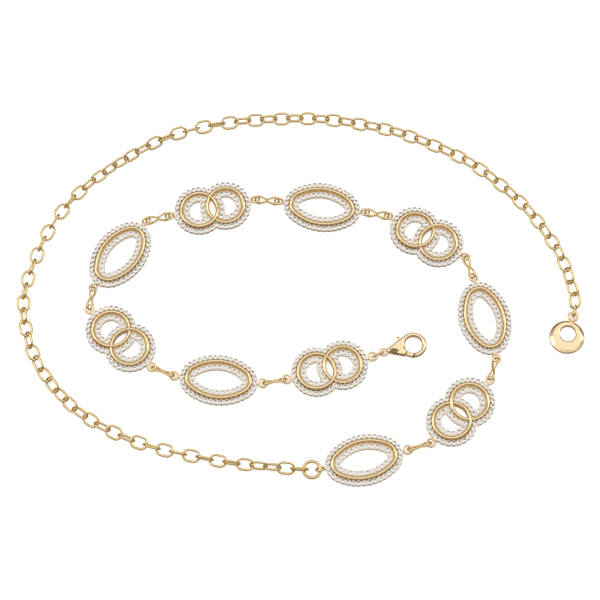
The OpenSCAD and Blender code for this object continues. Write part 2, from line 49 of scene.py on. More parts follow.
view_data = bpy.data.cameras.new("long_lens")
view_data.angle = VIEW_ANGLE
view_data.clip_start, view_data.clip_end = VIEW_DEPTH
view = bpy.data.objects.new("long_lens", view_data)
view.location = VIEW_TARGET + VIEW_DISTANCE * Vector(
    (0, -math.cos(VIEW_ELEVATION), math.sin(VIEW_ELEVATION))
)
view.rotation_euler = (math.pi / 2 - VIEW_ELEVATION, 0, 0)
bpy.context.collection.objects.link(view)
bpy.context.scene.camera = view
bpy.context.scene.view_settings.view_transform = "Standard"

# Clasp body
# A spring clasp cast in zinc alloy and plated pale gold, like all the metal of the strand. Its
# body is a rounded teardrop with a hook and an eye, and a slot that holds the lever on its pin.
MM = 0.001
# From here on sizes are in millimetres. The clasp's own frame has its eye at the origin, and its
# hook along +x.
CLASP_AT, CLASP_HEIGHT, CLASP_TURN = (41.5, -30), 1.75, math.radians(14)
EYE_R, EYE_WIRE = 1.8, 0.52
# The body's round end at the eye, the hook, and the lean of the straight flank between them
NECK_X, NECK_R = 2.7, 1.3
HOOK, HOOK_OUTER, HOOK_INNER = Vector((15.2, 0)), 6.5, 4.35
FLANK = math.asin((HOOK_OUTER - NECK_R) / (HOOK.x - NECK_X))
BODY_HALF, BODY_ROUNDING = 1.4, 1.03
# Half the body's thickness at some distances from the eye
SIDE_VIEW = [(-3, 0.5), (0, 0.5), (2.7, 1.4), (4.8, 1.6), (8.8, 1.6), (15.2, 1.4), (30, 1.4)]
PIN, PIN_R, PIN_HALF = Vector((7.8, -1.9)), 0.5, 1.45
# From the pin: how far the body reaches behind the opening, how far away the hook's tip is, and
# at which heading the opening starts
ROOT_R, TIP_R, GAP_TURN = 3.19, 7.3, math.radians(34)
# The slot for the lever, and the lever's hub in it
SLOT_R, SLOT_HALF, HUB_R = 3.39, 0.65, 1.45
# The thumb tab's heading, the lever's travel, and the slot's room before and after it
TAB_TURN, TRAVEL, ROOM_BEFORE, ROOM_AFTER = math.radians(81), math.radians(25), 0.24, 0.34
# A shallow oval pocket in the body's face, with a narrow rib left standing across it
POCKET, POCKET_HALF, POCKET_FLOOR = Vector((5.1, -1.04)), (2.2, 1.1), 0.88
POCKET_TURN = math.radians(22)
RIB_CORNERS, RIB_FOOT, RIB_TOP = ((-2.4, -0.1), (2.4, -0.5), (2.4, -0.2), (-2.4, 0.2)), 0.8, 1.5
RIB_MIDDLE, RIB_SLOPE, RIB_ROOM = -0.15, -0.08, 0.3
# Painted shade in the recesses: past the slot's edges, round the pocket as a share of its size, up
# to this height in it and on its rib, and to each side of the hook's tip
SHADE_AT_SLOT, SHADE_AT_POCKET, SHADE_TOP, SHADE_ON_RIB, SHADE_AT_TIP = 0.1, 1.08, 1.3, 1.12, 0.4


def node(tree, kind, at, **settings):
    made = tree.nodes.new(kind)
    made.location = at
    for name, value in settings.items():
        setattr(made, name, value)
    return made


def feed(tree, socket, value):
    """Links a socket to another node's output, or gives it a plain value."""
    if isinstance(value, bpy.types.NodeSocket):
        tree.links.new(value, socket)
    else:
        socket.default_value = value


def maths(tree, at, operation, *values):
    """The result of a Math node."""
    made = node(tree, "ShaderNodeMath", at, operation=operation)
    for socket, value in zip(made.inputs, values):
        feed(tree, socket, value)
    return made.outputs[0]


def ranged(tree, at, value, start, end, low=0, high=1, shape="LINEAR"):
    """Low where the value is at start or before it, and high where it is at end or past it."""
    made = node(tree, "ShaderNodeMapRange", at, interpolation_type=shape)
    for name, given in (("Value", value), ("From Min", start), ("From Max", end),
                        ("To Min", low), ("To Max", high)):
        feed(tree, made.inputs[name], given)
    return made.outputs["Result"]


def mixed(tree, at, factor, first, second, kind="RGBA"):
    """First where the factor is 0, second where it is 1."""
    made = node(tree, "ShaderNodeMix", at, data_type=kind)
    for name, given in (("Factor", factor), ("A", first), ("B", second)):
        feed(tree, made.inputs[name], given)
    return made.outputs["Result"]


def noise(tree, at, place, scale, detail, roughness):
    made = node(tree, "ShaderNodeTexNoise", at)
    for name, given in (("Vector", place), ("Scale", scale), ("Detail", detail),
                        ("Roughness", roughness)):
        feed(tree, made.inputs[name], given)
    return made.outputs["Fac"]


def new_group(name, inputs, outputs):
    """A shader node group with its sockets: the group, what it is given and what it makes."""
    group = bpy.data.node_groups.new(name, "ShaderNodeTree")
    for label, kind, start in inputs:
        socket = group.interface.new_socket(
            label, in_out="INPUT", socket_type="NodeSocket" + kind)
        socket.default_value = start
    for label, kind in outputs:
        group.interface.new_socket(label, in_out="OUTPUT", socket_type="NodeSocket" + kind)
    given = node(group, "NodeGroupInput", (-1200, 0))
    made = node(group, "NodeGroupOutput", (1000, 0))
    return group, given.outputs, made.inputs


def wavy_plating_group():
    """Colour, roughness and height of plated metal over a slightly uneven casting."""
    group, given, made = new_group(
        "wavy_plating",
        (("Bright", "Color", (0.95, 0.76, 0.48, 1)), ("Warm", "Color", (0.80, 0.55, 0.26, 1)),
         ("Waves per mm", "Float", 0.6), ("Smooth", "Float", 0.1), ("Dull", "Float", 0.22)),
        (("Colour", "Color"), ("Roughness", "Float"), ("Height", "Float")))
    place = node(group, "ShaderNodeTexCoord", (-900, 300)).outputs["Object"]
    scale = maths(group, (-700, 100), "MULTIPLY", given["Waves per mm"], 1 / MM)
    finer = maths(group, (-700, -150), "MULTIPLY", scale, 7)
    waves = noise(group, (-450, 250), place, scale, 3, 0.55)
    grain = noise(group, (-450, -100), place, finer, 4, 0.7)
    tone = ranged(group, (-200, 300), waves, 0.42, 0.75, 0, 0.55)
    colour = mixed(group, (100, 300), tone, given["Bright"], given["Warm"])
    wear = ranged(group, (-200, 0), grain, 0.35, 0.7, given["Smooth"], given["Dull"])
    ripple = maths(group, (-200, -300), "MULTIPLY_ADD", grain, 0.12, waves)
    feed(group, made["Colour"], colour)
    feed(group, made["Roughness"], wear)
    feed(group, made["Height"], ripple)
    return group


wavy_plating = wavy_plating_group()


def new_material(name):
    material = bpy.data.materials.new(name)
    material.use_nodes = True
    return material, material.node_tree, material.node_tree.nodes["Principled BSDF"]


def plated(name, bright, warm, waves, smooth, dull, bump):
    """Plated metal; bump is how deep the casting's waves look, in millimetres."""
    material, tree, shader = new_material(name)
    shader.inputs["Metallic"].default_value = 1
    shader.inputs["IOR"].default_value = 1.5
    finish = node(tree, "ShaderNodeGroup", (-500, 200), node_tree=wavy_plating)
    for label, value in (("Bright", (*bright, 1)), ("Warm", (*warm, 1)), ("Waves per mm", waves),
                         ("Smooth", smooth), ("Dull", dull)):
        finish.inputs[label].default_value = value
    relief = node(tree, "ShaderNodeBump", (-250, -200))
    relief.inputs["Strength"].default_value = 1
    relief.inputs["Distance"].default_value = bump * MM
    feed(tree, relief.inputs["Height"], finish.outputs["Height"])
    feed(tree, shader.inputs["Base Color"], finish.outputs["Colour"])
    feed(tree, shader.inputs["Roughness"], finish.outputs["Roughness"])
    feed(tree, shader.inputs["Normal"], relief.outputs["Normal"])
    return material


CAST_FINISH = {"waves": 0.5, "smooth": 0.08, "dull": 0.2, "bump": 0.05}
cast_gold = plated("cast_gold", (1, 0.82, 0.53), (0.91, 0.67, 0.36), **CAST_FINISH)
# A dark brown gold that is painted shade in the clasp's slot, its pocket and at the hook's tip.
recess_shade_gold = plated("recess_shade_gold", (0.27, 0.18, 0.09), (0.15, 0.10, 0.05),
                      waves=1.5, smooth=0.3, dull=0.5, bump=0.03)


def heading(turn):
    return Vector((math.cos(turn), math.sin(turn)))


def bearing(centre, point):
    return math.atan2(point[1] - centre[1], point[0] - centre[0])


def arc(centre, radius, start, end, count):
    """Points of an arc, its first one included and its last one left out."""
    return [Vector(centre) + radius * heading(start + (end - start) * k / count)
            for k in range(count)]


def crossing(centre, radius, other, other_radius, side):
    """Where two circles cross; side picks one of the two points."""
    apart = Vector(other) - Vector(centre)
    d = apart.length
    turn = math.acos((radius**2 + d**2 - other_radius**2) / (2 * radius * d))
    return Vector(centre) + radius * heading(bearing(centre, other) + side * turn)


def body_outline(inset):
    """The body seen from above, moved inwards by inset."""
    outer, inner = HOOK_OUTER - inset, HOOK_INNER + inset
    neck, root, tip = NECK_R - inset, ROOT_R - inset, TIP_R + inset
    lean = math.pi / 2 + FLANK
    low_neck = Vector((NECK_X - neck * math.sin(FLANK), -neck * math.cos(FLANK)))
    low_hook = HOOK + outer * Vector((-math.sin(FLANK), -math.cos(FLANK)))
    along = (low_hook - low_neck).normalized()
    out = PIN - low_neck
    back = along.dot(out)
    off = out.length_squared - back * back
    meet = low_neck + along * (back + math.sqrt(root * root - off))
    edge = GAP_TURN + inset / ROOT_R
    ray = heading(edge)
    to_hook = HOOK - PIN
    middle = ray.dot(to_hook)
    enter = PIN + ray * (middle - math.sqrt(inner**2 - to_hook.length_squared + middle**2))
    tip_in = crossing(PIN, tip, HOOK, inner, -1)
    tip_out = crossing(PIN, tip, HOOK, outer, -1)
    start, end = bearing(HOOK, enter), bearing(HOOK, tip_in)
    path = arc(PIN, root, bearing(PIN, meet), edge, 24)
    path.append(PIN + root * ray)
    path += arc(HOOK, inner, start % (2 * math.pi), end, 56)
    path += arc(PIN, tip, bearing(PIN, tip_in), bearing(PIN, tip_out), 8)
    path += arc(HOOK, outer, bearing(HOOK, tip_out), lean, 64)
    path += arc((NECK_X, 0), neck, lean, 2 * math.pi - lean, 16)
    path.append(low_neck)
    return path


def rounded_slab(outline, half, rounding, layers=5):
    """A slab with rounded edges, lofted between insets of its outline."""
    levels = []
    for k in range(layers + 1):
        a = math.pi / 2 * k / layers
        levels.append((rounding * (1 - math.cos(a)), half - rounding * (1 - math.sin(a))))
    levels = [(d, -z) for d, z in reversed(levels)] + levels
    points, faces = [], []
    for inset, z in levels:
        points += [(p.x, p.y, z) for p in outline(inset)]
    count = len(points) // len(levels)
    for level in range(len(levels) - 1):
        low = level * count
        for k in range(count):
            after = (k + 1) % count
            faces.append((low + k, low + after, low + count + after, low + count + k))
    top = (len(levels) - 1) * count
    faces.append(tuple(reversed(range(count))))
    faces.append(tuple(top + k for k in range(count)))
    return points, faces


def prism(outline, low, high):
    count = len(outline)
    points = [(p[0], p[1], z) for z in (low, high) for p in outline]
    faces = [(k, (k + 1) % count, count + (k + 1) % count, count + k) for k in range(count)]
    faces += [tuple(reversed(range(count))), tuple(range(count, 2 * count))]
    return points, faces


def post(centre, radius, half, count):
    """A round post that reaches half its height up and down."""
    return prism(arc(centre, radius, 0, 2 * math.pi, count), -half, half)


def ring_shell(radius, wire, height, turns=64, sides=20):
    """A ring of round wire, lying flat round the origin."""
    points, faces = [], []
    for k in range(turns):
        out = heading(2 * math.pi * k / turns)
        for s in range(sides):
            b = 2 * math.pi * s / sides
            reach = radius + wire * math.cos(b)
            points.append((reach * out.x, reach * out.y, height + wire * math.sin(b)))
            low, next_low = k * sides, (k + 1) % turns * sides
            after = (s + 1) % sides
            faces.append((low + s, next_low + s, next_low + after, low + after))
    return points, faces


def shell(parts):
    """One object that holds several closed shells, in millimetres."""
    points, faces = [], []
    for more_points, more_faces in parts:
        start = len(points)
        points += more_points
        faces += [tuple(start + i for i in face) for face in more_faces]
    mesh = bpy.data.meshes.new("shell")
    mesh.from_pydata(points, [], faces)
    made = bpy.data.objects.new("shell", mesh)
    bpy.context.collection.objects.link(made)
    return made


def settled(held, *helpers):
    """The object's points and faces with its modifiers applied. It and its helpers are removed."""
    bpy.context.view_layer.update()
    mesh = held.evaluated_get(bpy.context.evaluated_depsgraph_get()).to_mesh()
    result = [tuple(v.co) for v in mesh.vertices], [tuple(p.vertices) for p in mesh.polygons]
    for made in (held, *helpers):
        bpy.data.objects.remove(made)
    return result


def cast(parts, cuts=(), kept=(), voxel=0.14, smoothing=5):
    """Parts melted into one skin, less the cuts, plus the kept parts, with softened edges."""
    held = shell(parts)
    held.modifiers.new("melt", "REMESH").voxel_size = voxel
    cutters = [shell([cut]) for cut in cuts]
    for cutter in cutters:
        saw = held.modifiers.new("saw", "BOOLEAN")
        saw.operation, saw.solver, saw.object = "DIFFERENCE", "EXACT", cutter
    held = shell([settled(held, *cutters), *kept])
    held.modifiers.new("melt", "REMESH").voxel_size = voxel
    soften = held.modifiers.new("soften", "SMOOTH")
    soften.factor, soften.iterations = 0.5, smoothing
    return settled(held)


def piece(name, points, faces, body, materials):
    """A finished piece of the strand, from points in millimetres in the strand's frame."""
    mesh = bpy.data.meshes.new(name)
    mesh.from_pydata([MM * p for p in points], [], faces)
    for material in materials:
        mesh.materials.append(material)
    made = bpy.data.objects.new(name, mesh)
    bpy.context.collection.objects.link(made)
    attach(made, body)
    return made


def casting(name, form, place, body, *materials):
    """A smooth cast piece, from a form in its own frame."""
    made = piece(name, [place @ Vector(p) for p in form[0]], form[1], body,
                 materials)
    made.data.shade_smooth()
    return made


def shade_faces(made, form, where):
    """Gives a piece's second material, its painted shade, to the faces whose first corner is where
    it says.
    """
    for polygon, face in zip(made.data.polygons, form[1]):
        polygon.material_index = int(where(*form[0][face[0]]))


def thickened(form):
    """The clasp's body is thickest over the pin and thins out towards the eye."""
    points = []
    for x, y, z in form[0]:
        after = next(k for k in range(1, len(SIDE_VIEW)) if SIDE_VIEW[k][0] >= x)
        (x0, h0), (x1, h1) = SIDE_VIEW[after - 1], SIDE_VIEW[after]
        points.append((x, y, z * (h0 + (h1 - h0) * (x - x0) / (x1 - x0)) / BODY_HALF))
    return points, form[1]


sweep = arc(PIN, 2 * HOOK_OUTER, TAB_TURN - ROOM_BEFORE, TAB_TURN + TRAVEL + ROOM_AFTER, 12)
sweep += reversed(arc(PIN, HUB_R, TAB_TURN - ROOM_BEFORE, TAB_TURN + TRAVEL + ROOM_AFTER, 12))
pocket_turn = Matrix.Rotation(POCKET_TURN, 2)
pocket = [POCKET + Vector((POCKET_HALF[0] * p.x, POCKET_HALF[1] * p.y)) @ pocket_turn
          for p in arc((0, 0), 1, 0, 2 * math.pi, 32)]
rib = [POCKET + Vector(corner) @ pocket_turn for corner in RIB_CORNERS]
body_form = cast(
    [thickened(rounded_slab(body_outline, BODY_HALF, BODY_ROUNDING)),
     ring_shell(EYE_R, EYE_WIRE, 0)],
    cuts=[post(PIN, SLOT_R, SLOT_HALF, 48),
          prism(sweep, -SLOT_HALF, SLOT_HALF),
          prism(pocket, POCKET_FLOOR, 2 * BODY_HALF)],
    kept=[post(PIN, PIN_R, PIN_HALF, 24), prism(rib, RIB_FOOT, RIB_TOP)])
clasp_place = Matrix.Translation((*CLASP_AT, CLASP_HEIGHT)) @ Matrix.Rotation(CLASP_TURN, 4, "Z")
clasp_body = casting("clasp_casting", body_form, clasp_place, "strand", cast_gold, recess_shade_gold)


def in_recess(x, y, z):
    """True where shade is painted: in the lever's slot, in the pocket and where the hook's tip
    meets the gate.
    """
    from_pin = (Vector((x, y)) - PIN).length
    across = (Vector((x, y)) - POCKET) @ pocket_turn.transposed()
    out = math.hypot(across.x / POCKET_HALF[0], across.y / POCKET_HALF[1])
    off_rib = abs(across.y - RIB_MIDDLE - RIB_SLOPE * across.x)
    in_slot = from_pin < SLOT_R + SHADE_AT_SLOT and abs(z) < SLOT_HALF + SHADE_AT_SLOT
    in_pocket = out < SHADE_AT_POCKET and 0 < z < SHADE_TOP
    on_rib = off_rib < RIB_ROOM and z > SHADE_ON_RIB
    at_tip = y < PIN.y and abs(from_pin - TIP_R) < SHADE_AT_TIP
    return in_slot or (in_pocket and not on_rib) or at_tip


# The slot, the pocket and the seam at the hook's tip get the dark gold as painted shade; the rib's
# top stays bright.
shade_faces(clasp_body, body_form, in_recess)
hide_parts("clasp_body")

# Clasp lever
# The lever is a second casting that turns on the pin. It has the gate that closes the hook, a
# thumb tab behind, and a short tail that the spring pushes against.
GATE_ROOT, GATE_TIP, GATE_HALF, GATE_ROUNDING = 3.39, 6.98, 1.2, 0.7
# Headings in the gate's middle and past its two edges
GATE_MIDDLE, GATE_PAST = math.radians(-25), (math.radians(-80), math.radians(7))
# The thin tongue at the gate's end, and how far it stays inside the hook's two edges
TONGUE, TONGUE_HALF, TONGUE_IN, TONGUE_OUT = (6.5, 7.25), 1, 0.1, 0.2
# Heading, length, half width and half height of each arm
GATE_ARM = (math.radians(-26), 4.9, 0.8, 0.55)
SPRING_TAIL = (math.radians(172), 2.8, 0.4, 0.5)
THUMB_ARM = (TAB_TURN, 8.5, 0.6, 0.55)
KNOB_AT, KNOB_R, KNOB_HALF = 7.85, 0.65, 1.2
BORE_R, HUB_HALF = 0.55, 0.55
# How far from the pin the painted shade on the gate starts
GATE_SHADE_R = 6.7


def gate_reach(turn, inset):
    """How far the gate reaches from the pin in one direction."""
    ray = heading(turn)
    to_hook = HOOK - PIN
    middle = ray.dot(to_hook)
    off = to_hook.length_squared - middle**2
    reach = GATE_TIP - inset
    if off < (HOOK_INNER + inset) ** 2:
        reach = min(reach, middle - math.sqrt((HOOK_INNER + inset) ** 2 - off))
    reach = min(reach, middle + math.sqrt(max((HOOK_OUTER - inset) ** 2 - off, 0)))
    normal = Vector((-math.sin(FLANK), -math.cos(FLANK)))
    room = NECK_R - inset - normal.dot(PIN - Vector((NECK_X, 0)))
    if normal.dot(ray) > 0 and (PIN + ray * room / normal.dot(ray)).x < HOOK.x:
        reach = min(reach, room / normal.dot(ray))
    return reach


def gate_edge(outside, inset, halvings=40):
    """The heading of one of the gate's edges, found between its middle and a heading past it."""
    inside = GATE_MIDDLE
    for _ in range(halvings):
        middle = (inside + outside) / 2
        if gate_reach(middle, inset) > GATE_ROOT + inset:
            inside = middle
        else:
            outside = middle
    return inside


def gate_outline(inset):
    """The gate seen from above, moved inwards by inset."""
    first, last = (gate_edge(outside, inset) for outside in GATE_PAST)
    path = arc(PIN, GATE_ROOT + inset, last, first, 20)
    for k in range(60):
        a = first + (last - first) * k / 60
        path.append(PIN + gate_reach(a, inset) * heading(a))
    return path


def bar(start, turn, length, half_width, half_height):
    """A straight bar from a point, with its far end rounded."""
    along = heading(turn)
    aside = Vector((-along.y, along.x)) * half_width
    end = start + along * (length - half_width)
    outline = [start + aside, start - aside]
    outline += arc(end, half_width, turn - math.pi / 2, turn + math.pi / 2, 12)
    outline.append(end + aside)
    return prism(outline, -half_height, half_height)


def tongue_side(radius, start, end, steps=4):
    """Points along one side of the tongue, between two distances from the hook's middle."""
    return [crossing(PIN, radius, HOOK, start + (end - start) * k / steps, -1)
            for k in range(steps + 1)]


tongue = tongue_side(TONGUE[1], HOOK_INNER + TONGUE_IN, HOOK_OUTER - TONGUE_OUT)
tongue += tongue_side(TONGUE[0], HOOK_OUTER - TONGUE_OUT, HOOK_INNER + TONGUE_IN)
lever_form = cast(
    [rounded_slab(gate_outline, GATE_HALF, GATE_ROUNDING),
     prism(tongue, -TONGUE_HALF, TONGUE_HALF),
     post(PIN, HUB_R, HUB_HALF, 40),
     bar(PIN, *GATE_ARM),
     bar(PIN, *SPRING_TAIL),
     bar(PIN, *THUMB_ARM),
     post(PIN + KNOB_AT * heading(TAB_TURN), KNOB_R, KNOB_HALF, 24)],
    cuts=[post(PIN, BORE_R, 2, 24)],
    voxel=0.12, smoothing=4)
clasp_lever = casting("lever_casting", lever_form, clasp_place, "lever", cast_gold, recess_shade_gold)
# Painted shade on the gate's end, where it meets the hook's tip.
shade_faces(clasp_lever, lever_form,
      lambda x, y, z: y < PIN.y and (Vector((x, y)) - PIN).length > GATE_SHADE_R)
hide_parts("clasp_lever")

# Plaques
# Ten castings that alternate along the strand: two crossing rings, and an oval. The ridge and end
# loops are plated gold and polished, the plate and its cups are silver coloured with painted shade
# low down, and brown painted shade fills the recesses, darker outside the ridge than inside it.
CUP, PITCH, LOOP_REACH = 2.5, 2.64, 2.6
# Half the ridge's width, and the flat strip between it and each row of cups
RIDGE_HALF, OUTER_STRIP, INNER_STRIP = 0.8, 0.25, 0.75
OUTER_ROW = RIDGE_HALF + OUTER_STRIP + CUP / 2
INNER_ROW = RIDGE_HALF + INNER_STRIP + CUP / 2
# The crossing rings' ridges: radius, and how far each one's middle is from the plaque's
RING_R, RING_X = 9.25, 6.7
# The oval ridge's half length, half width and end radius. Its side arc is centred past the
# plaque's middle, and meets the end arc at this heading.
OVAL_A, OVAL_B, OVAL_R = 15.9, 9.5, 6.3
OVAL_SIDE_Y = ((OVAL_A - OVAL_R) ** 2 - (OVAL_B - OVAL_R) ** 2) / (2 * (OVAL_B - OVAL_R))
OVAL_TURN = math.atan2(OVAL_SIDE_Y, OVAL_A - OVAL_R)
# How far each plate reaches along the strand from its plaque's middle
DOUBLE_TIP = RING_X + RING_R + OUTER_ROW + CUP / 2
OVAL_TIP = OVAL_A + OUTER_ROW + CUP / 2
# What the clasp's link and a bow link span between the pieces they join
CLASP_LINK_SPAN, BOW_SPAN = 6.1, 11.9
# The strand's route: the plaques and links lie along these points, one after the other
ROUTE = [
    CLASP_AT, (36, -32.5), (-7, -44.5), (-18.5, -46.5), (-62.5, -42.5), (-73.5, -38),
    (-105.5, -7), (-103.5, 4), (-78, 40), (-66, 43), (-22.5, 52), (-10.5, 51), (33, 45),
    (44.5, 43), (82.5, 22), (86.5, 10.5), (97.5, -32.5), (94.5, -44), (65.5, -77), (53, -81),
    (9.5, -91), (2, -91.5),
]
# Silver is the plate's own colour; the other three tones are painted shade, low down and in the
# recesses.
PLAQUE_TONES = {
    "Silver": (0.97, 0.95, 0.89, 1),
    "Shaded low silver": (0.75, 0.68, 0.57, 1),
    "Outer shade": (0.36, 0.23, 0.11, 1),
    "Inner shade": (0.58, 0.43, 0.25, 1),
}


def finish_node(name, material):
    for held in nodes[name].material_slots:
        held.material = material


def plaque_places():
    """Middle and heading of each plaque, from steps of known length along the route."""
    steps = [CLASP_LINK_SPAN]
    for tip in (DOUBLE_TIP, OVAL_TIP) * 5:
        steps += [2 * (tip + LOOP_REACH), BOW_SPAN]
    track = [Vector(p) for p in ROUTE]
    joints = [track[0]]
    ahead = 1
    for step in steps[:-1]:
        here = joints[-1]
        while (track[ahead] - here).length < step:
            ahead += 1
        a, along = track[ahead - 1], track[ahead] - track[ahead - 1]
        back = along.dot(a - here)
        rest = (a - here).length_squared - step * step
        share = math.sqrt(back * back - along.length_squared * rest) - back
        joints.append(a + along * share / along.length_squared)
    ends = zip(joints[1::2], joints[2::2])
    return [((a + b) / 2, bearing(a, b) + math.pi) for a, b in ends]


def vector_maths(tree, at, operation, first, second=None):
    """The result of a Vector Math node on two vectors, or on a vector and a scale."""
    made = node(tree, "ShaderNodeVectorMath", at, operation=operation)
    feed(tree, made.inputs[0], first)
    if second is not None:
        feed(tree, made.inputs["Scale" if operation == "SCALE" else 1], second)
    return made.outputs["Value" if operation in ("DISTANCE", "DOT_PRODUCT") else "Vector"]


def ridge_group(name, circles, end_turn=None):
    """Where a point of a plaque is, in mm: from its ridge, outside it, along it and up.

    The ridge is two crossing circles or, where end_turn says at which heading its end's arc
    stops, an oval of an end circle and a side circle.
    """
    group, given, made = new_group(
        name, (("Middle", "Vector", (0, 0, 0)), ("Turn", "Float", 0)),
        (("Reach", "Float"), ("Side", "Float"), ("Along", "Float"), ("Height", "Float")))
    place = node(group, "ShaderNodeTexCoord", (-1200, 300)).outputs["Object"]
    own = node(group, "ShaderNodeVectorRotate", (-800, 200), rotation_type="Z_AXIS", invert=True)
    feed(group, own.inputs["Vector"], vector_maths(group, (-1000, 300), "SCALE", place, 1 / MM))
    feed(group, own.inputs["Center"], given["Middle"])
    feed(group, own.inputs["Angle"], given["Turn"])
    shift = vector_maths(group, (-600, 200), "SUBTRACT", own.outputs[0], given["Middle"])
    fold = vector_maths(group, (-400, 200), "ABSOLUTE", shift)
    flat = vector_maths(group, (-200, 200), "MULTIPLY", fold, (1, 1, 0))
    axes = node(group, "ShaderNodeSeparateXYZ", (-200, 400))
    feed(group, axes.inputs[0], fold)
    outside = []
    for k, (x, y, radius) in enumerate(circles):
        apart = vector_maths(group, (0, 200 - 300 * k), "DISTANCE", flat, (x, y, 0))
        outside.append(maths(group, (200, 200 - 300 * k), "SUBTRACT", apart, radius))
    if end_turn is None:
        side = maths(group, (400, 200), "MINIMUM", *outside)
        gaps = [maths(group, (400, -100 * k), "ABSOLUTE", off) for k, off in enumerate(outside)]
        reach = maths(group, (600, 0), "MINIMUM", *gaps)
    else:
        from_end = vector_maths(group, (0, -500), "SUBTRACT", flat, (*circles[0][:2], 0))
        lean = vector_maths(group, (200, -500), "DOT_PRODUCT", from_end,
                            (math.sin(end_turn), -math.cos(end_turn), 0))
        at_end = maths(group, (400, -500), "GREATER_THAN", lean, 0)
        side = mixed(group, (600, 200), at_end, outside[1], outside[0], "FLOAT")
        reach = maths(group, (800, 0), "ABSOLUTE", side)
    feed(group, made["Reach"], reach)
    feed(group, made["Side"], side)
    feed(group, made["Along"], axes.outputs["X"])
    feed(group, made["Height"], axes.outputs["Z"])
    return group


def below(tree, at, value, start, end):
    """1 where the value is below start, 0 above end, and smooth in between."""
    return ranged(tree, at, value, start, end, 1, 0, "SMOOTHSTEP")


def two_tone_group():
    """Gold on the ridge and the end loops, silver elsewhere, and painted shade low down and in the
    recesses.

    Each part fades out between its two distances, in millimetres.
    """
    group, given, made = new_group(
        "two_tone_and_shade",
        (("Gold", "Color", (0.98, 0.84, 0.53, 1)), ("Silver", "Color", (0.9, 0.9, 0.9, 1)),
         ("Shaded low silver", "Color", (0.7, 0.65, 0.6, 1)), ("Outer shade", "Color", (0.3, 0.2, 0.1, 1)),
         ("Inner shade", "Color", (0.6, 0.5, 0.3, 1)), ("Reach", "Float", 0), ("Side", "Float", 0),
         ("Along", "Float", 0), ("Height", "Float", 0), ("Tip", "Float", 20)),
        (("Colour", "Color"),))
    on_ridge = below(group, (-700, 700), given["Reach"], 0.95, 1.1)
    near = below(group, (-700, 100), given["Reach"], 1.3, 2.0)
    low = below(group, (-700, 300), given["Height"], 1.25, 2.0)
    within = below(group, (-700, -100), given["Side"], -0.4, 0.4)
    past_tip = maths(group, (-900, 500), "SUBTRACT", given["Along"], given["Tip"])
    on_plate = below(group, (-700, 500), past_tip, -0.4, -0.1)
    # Painted shade: darker silver low down, and brown in the recesses next to the ridge.
    recess = maths(group, (-500, 300), "MULTIPLY", low, near)
    silver = mixed(group, (-500, 700), low, given["Silver"], given["Shaded low silver"])
    painted_shade = mixed(group, (-500, 500), within, given["Outer shade"], given["Inner shade"])
    plain = mixed(group, (-300, 600), on_ridge, silver, given["Gold"])
    shaded = mixed(group, (-100, 500), recess, plain, painted_shade)
    feed(group, made["Colour"], mixed(group, (100, 500), on_plate, given["Gold"], shaded))
    return group


two_tone_and_shade = two_tone_group()
double_ridge = ridge_group("double_ridge", ((RING_X, 0, RING_R), (-RING_X, 0, RING_R)))
oval_ridge = ridge_group(
    "oval_ridge",
    ((OVAL_A - OVAL_R, 0, OVAL_R), (0, -OVAL_SIDE_Y, OVAL_B + OVAL_SIDE_Y)), OVAL_TURN)


def two_tone(name, ridge, place, tip):
    """The metal of one plaque; tip is how far its plate reaches along it, in millimetres."""
    material = plated(name, (1, 0.81, 0.49), (0.91, 0.64, 0.32), **CAST_FINISH)
    tree = material.node_tree
    gold = next(n for n in tree.nodes if n.type == "GROUP").outputs["Colour"]
    middle, turn = place
    spot = node(tree, "ShaderNodeGroup", (-1100, 500), node_tree=ridge)
    spot.inputs["Middle"].default_value = (*middle, 0)
    spot.inputs["Turn"].default_value = turn
    tones = node(tree, "ShaderNodeGroup", (-300, 500), node_tree=two_tone_and_shade)
    tones.inputs["Tip"].default_value = tip
    for tone, colour in PLAQUE_TONES.items():
        tones.inputs[tone].default_value = colour
    for measure in ("Reach", "Side", "Along", "Height"):
        feed(tree, tones.inputs[measure], spot.outputs[measure])
    feed(tree, tones.inputs["Gold"], gold)
    feed(tree, tree.nodes["Principled BSDF"].inputs["Base Color"], tones.outputs["Colour"])
    return material


places = plaque_places()
double_places, oval_places = places[::2], places[1::2]
for k in range(5):
    finish_node(f"double_plaque_{k + 1}",
                two_tone(f"double_metal_{k + 1}", double_ridge, double_places[k], DOUBLE_TIP))
    finish_node(f"oval_plaque_{k + 1}",
                two_tone(f"oval_metal_{k + 1}", oval_ridge, oval_places[k], OVAL_TIP))

# Stones
# Round clear stones of nearly 2 mm, cut with a flat table and backed with silver foil. Each one
# is glued into its cup, so they all sit a little differently.
CUP_TOP = 2.3
STONE_R, STONE_DEPTH, STONE_CROWN, STONE_GIRDLE = 0.95, 0.72, 0.35, 0.06
# Shares of the stone's radius, and the star facets' share of the crown's height
TABLE_R, STAR_R, CULET_R, STAR_RISE = 0.56, 0.79, 0.1, 0.55
# The most that a stone tips in its cup, in degrees
MOST_TIP = 8


